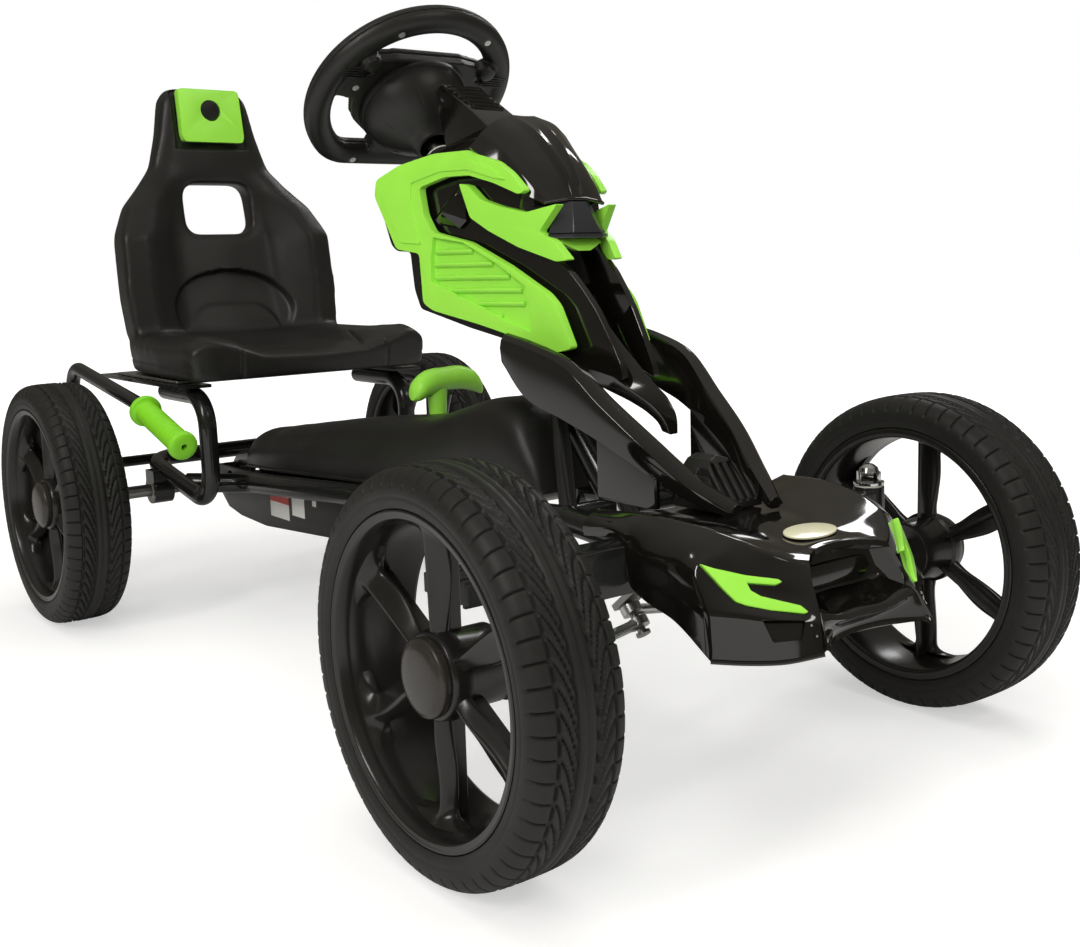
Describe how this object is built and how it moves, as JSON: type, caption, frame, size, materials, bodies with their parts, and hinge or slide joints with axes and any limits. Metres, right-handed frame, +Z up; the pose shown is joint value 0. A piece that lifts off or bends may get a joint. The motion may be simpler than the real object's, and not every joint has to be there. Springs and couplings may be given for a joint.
{
  "type": "pedal go kart",
  "caption": "Child's pedal go-kart with moulded fairing, steering linkage, chain drive, hand brake and sliding seat.",
  "frame": {"origin": "on the floor, midway between the two axles, in the kart's middle plane", "axes": "+X to the driver's left, -Y forwards, +Z up"},
  "size_m": [0.621, 1.22, 0.6948],
  "materials": {
    "tyre_foam": "matt, closed-cell foam",
    "rim_plastic": "satin gloss black moulding",
    "cap_plastic": "gloss black moulding",
    "lime_plastic": "satin lime moulding",
    "gloss_black": "gloss black moulding",
    "satin_black": "satin black moulding with a fine grain",
    "frame_paint": "gloss black powder coat",
    "zinc_steel": "bright zinc plated",
    "chrome": "polished",
    "steel": "oiled steel",
    "nylon": "natural nylon",
    "rubber_black": "matt",
    "rubber_lime": "satin lime rubber",
    "lamp_plastic": "dark smoked satin"
  },
  "bodies": {
    "frame": {"front_axle_beam": "frame_paint", "seat_hoop": "frame_paint", "main_frame": "frame_paint", "steering_bushes": "nylon", "bearings": "nylon", "seat_plates": "frame_paint", "chain": "steel", "chain_case": "satin_black", "console": "satin_black", "side_panel_left": "lime_plastic", "side_panel_right": "lime_plastic", "fairing_left": "gloss_black", "fairing_right": "gloss_black", "fang_panel": "lime_plastic", "headlamp": "lamp_plastic", "hood": "gloss_black", "dash": "gloss_black", "nose_accents": "lime_plastic", "nose_cover": "gloss_black", "front_legs": "gloss_black", "intake": "satin_black"},
    "steering": {"steering_shaft": "steel", "steering_wheel_front": "satin_black", "steering_wheel_back": "satin_black", "steering_bell": "satin_black", "horn_pad": "satin_black", "steering_wheel_screws": "zinc_steel"},
    "knuckle_body_left": {"knuckle_left": "frame_paint", "knuckle_nuts_left": "chrome"},
    "knuckle_body_right": {"knuckle_right": "frame_paint", "knuckle_nuts_right": "chrome"},
    "tie_rod_body_left": {"tie_rod_left": "zinc_steel"},
    "tie_rod_body_right": {"tie_rod_right": "zinc_steel"},
    "front_wheel_left": {"tyre_front_left": "tyre_foam", "rim_front_left": "rim_plastic", "hub_cap_front_left": "cap_plastic", "bushes_front_left": "nylon"},
    "front_wheel_right": {"tyre_front_right": "tyre_foam", "rim_front_right": "rim_plastic", "hub_cap_front_right": "cap_plastic", "bushes_front_right": "nylon"},
    "rear_wheels": {"rear_axle": "steel", "rear_sprocket": "steel", "tyre_rear_left": "tyre_foam", "tyre_rear_right": "tyre_foam", "rim_rear_left": "rim_plastic", "rim_rear_right": "rim_plastic", "hub_caps_rear": "cap_plastic", "rear_axle_nuts": "zinc_steel"},
    "crank_body": {"crank": "steel"},
    "pedal_body_left": {"pedal_left": "rubber_black"},
    "pedal_body_right": {"pedal_right": "rubber_black"},
    "brake": {"brake_lever": "frame_paint", "brake_grip": "rubber_lime", "brake_pad": "rubber_black"},
    "gear": {"gear_lever": "frame_paint", "gear_handle": "lime_plastic"},
    "seat": {"seat_shell": "satin_black", "head_panel": "lime_plastic", "seat_brackets": "zinc_steel"}
  },
  "joints": [
    {"name": "steering_turn", "type": "hinge", "parent": "frame", "child": "steering", "pos_m": [0, 0.022, 0.615], "axis": [0, 0.6388, 0.7694], "range_deg": [-25.5, 25.5]},
    {"name": "rear_axle_spin", "type": "hinge", "parent": "frame", "child": "rear_wheels", "pos_m": [0, 0.4455, 0.15], "axis": [1, 0, 0], "continuous": true},
    {"name": "crank_spin", "type": "hinge", "parent": "frame", "child": "crank_body", "pos_m": [0, -0.165, 0.2], "axis": [1, 0, 0], "continuous": true},
    {"name": "kingpin_left", "type": "hinge", "parent": "frame", "child": "knuckle_body_left", "pos_m": [0.188, -0.4455, 0.19], "axis": [0, 0, 1], "range_deg": [-25.2, 25.2]},
    {"name": "tie_rod_pivot_left", "type": "hinge", "parent": "steering", "child": "tie_rod_body_left", "pos_m": [0, -0.32662, 0.11681], "axis": [0, 0.6388, 0.7694], "range_deg": [-25.6, 25.6]},
    {"name": "front_wheel_spin_left", "type": "hinge", "parent": "knuckle_body_left", "child": "front_wheel_left", "pos_m": [0.268, -0.4455, 0.15], "axis": [1, 0, 0], "continuous": true},
    {"name": "pedal_swing_left", "type": "hinge", "parent": "crank_body", "child": "pedal_body_left", "pos_m": [0.129, -0.06531, 0.24649], "axis": [1, 0, 0], "continuous": true},
    {"name": "kingpin_right", "type": "hinge", "parent": "frame", "child": "knuckle_body_right", "pos_m": [-0.188, -0.4455, 0.19], "axis": [0, 0, 1], "range_deg": [-25.2, 25.2]},
    {"name": "tie_rod_pivot_right", "type": "hinge", "parent": "steering", "child": "tie_rod_body_right", "pos_m": [0, -0.33557, 0.10603], "axis": [0, 0.6388, 0.7694], "range_deg": [-25.6, 25.6]},
    {"name": "front_wheel_spin_right", "type": "hinge", "parent": "knuckle_body_right", "child": "front_wheel_right", "pos_m": [-0.268, -0.4455, 0.15], "axis": [1, 0, 0], "continuous": true},
    {"name": "pedal_swing_right", "type": "hinge", "parent": "crank_body", "child": "pedal_body_right", "pos_m": [-0.129, -0.26469, 0.15351], "axis": [1, 0, 0], "continuous": true},
    {"name": "brake_pull", "type": "hinge", "parent": "frame", "child": "brake", "pos_m": [-0.205, 0.5, 0.183], "axis": [-1, 0, 0], "range_deg": [0, 6.5]},
    {"name": "gear_shift", "type": "hinge", "parent": "frame", "child": "gear", "pos_m": [0.04, 0.075, 0.181], "axis": [1, 0, 0], "range_deg": [-10, 10]},
    {"name": "seat_adjust", "type": "slide", "parent": "frame", "child": "seat", "axis": [0, 1, 0], "range_m": [-0.04, 0.04]}
  ],
  "couplings": [
    {"joint": "crank_spin", "follows": "rear_axle_spin", "ratio": 0.5},
    {"joint": "kingpin_left", "follows": "steering_turn", "ratio": 0.98},
    {"joint": "tie_rod_pivot_left", "follows": "steering_turn", "ratio": -1},
    {"joint": "kingpin_right", "follows": "steering_turn", "ratio": 0.98},
    {"joint": "tie_rod_pivot_right", "follows": "steering_turn", "ratio": -1}
  ]
}
